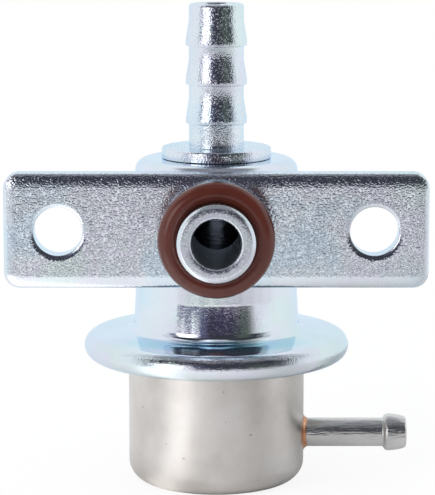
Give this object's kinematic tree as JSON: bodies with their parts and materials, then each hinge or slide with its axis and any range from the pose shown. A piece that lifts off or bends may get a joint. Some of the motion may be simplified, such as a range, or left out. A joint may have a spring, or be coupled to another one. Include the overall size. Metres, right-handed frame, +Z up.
{
  "type": "fuel pressure regulator",
  "caption": "Round metal diaphragm regulator with a bolted inlet flange and seal, barbed return pipe, rolled seam and a side vacuum nipple.",
  "frame": {"origin": "centre of the spring can's flat end, which the part stands on", "axes": "+Z up along the return pipe, -Y out of the inlet spigot towards the fuel rail, +X along the vacuum nipple"},
  "size_m": [0.058, 0.0437, 0.068],
  "materials": {
    "zinc_plate": "bright zinc plating with a clear blue tint and a fine grain",
    "nickel_plate": "warm satin nickel",
    "turned_steel": "plain turned or pressed steel",
    "spring_steel": "dark oiled spring wire",
    "ball_steel": "polished bearing steel",
    "brass": "plain brass",
    "copper_braze": "copper braze, slightly heat tinted",
    "diaphragm_rubber": "black rubber on fabric",
    "seal_rubber": "reddish brown fluoro rubber, satin"
  },
  "bodies": {
    "housing": {"upper_housing": "zinc_plate", "spring_can": "nickel_plate", "diaphragm": "diaphragm_rubber", "mounting_plate": "zinc_plate", "inlet_spigot": "zinc_plate", "inlet_o_ring": "seal_rubber", "return_fitting": "zinc_plate", "valve_seat": "turned_steel", "return_braze": "copper_braze", "vacuum_nipple": "nickel_plate", "nipple_braze": "copper_braze", "spring_rest": "turned_steel", "main_spring": "spring_steel"},
    "valve_carriage": {"valve_carrier": "turned_steel", "upper_diaphragm_plate": "turned_steel", "lower_spring_plate": "turned_steel", "ball_retainer": "brass", "ball_spring": "spring_steel"},
    "valve_ball": {"valve_ball": "ball_steel"}
  },
  "joints": [
    {"name": "valve_lift", "type": "slide", "parent": "housing", "child": "valve_carriage", "axis": [0, 0, -1], "range_m": [0, 0.0008], "stiffness_N_per_m": 200, "springref_m": -0.0025, "deforming": ["diaphragm", "main_spring"]},
    {"name": "ball_swivel", "type": "hinge", "parent": "valve_carriage", "child": "valve_ball", "pos_m": [0, 0, 0.02618], "axis": [1, 0, 0], "range_deg": [-4, 4]}
  ]
}
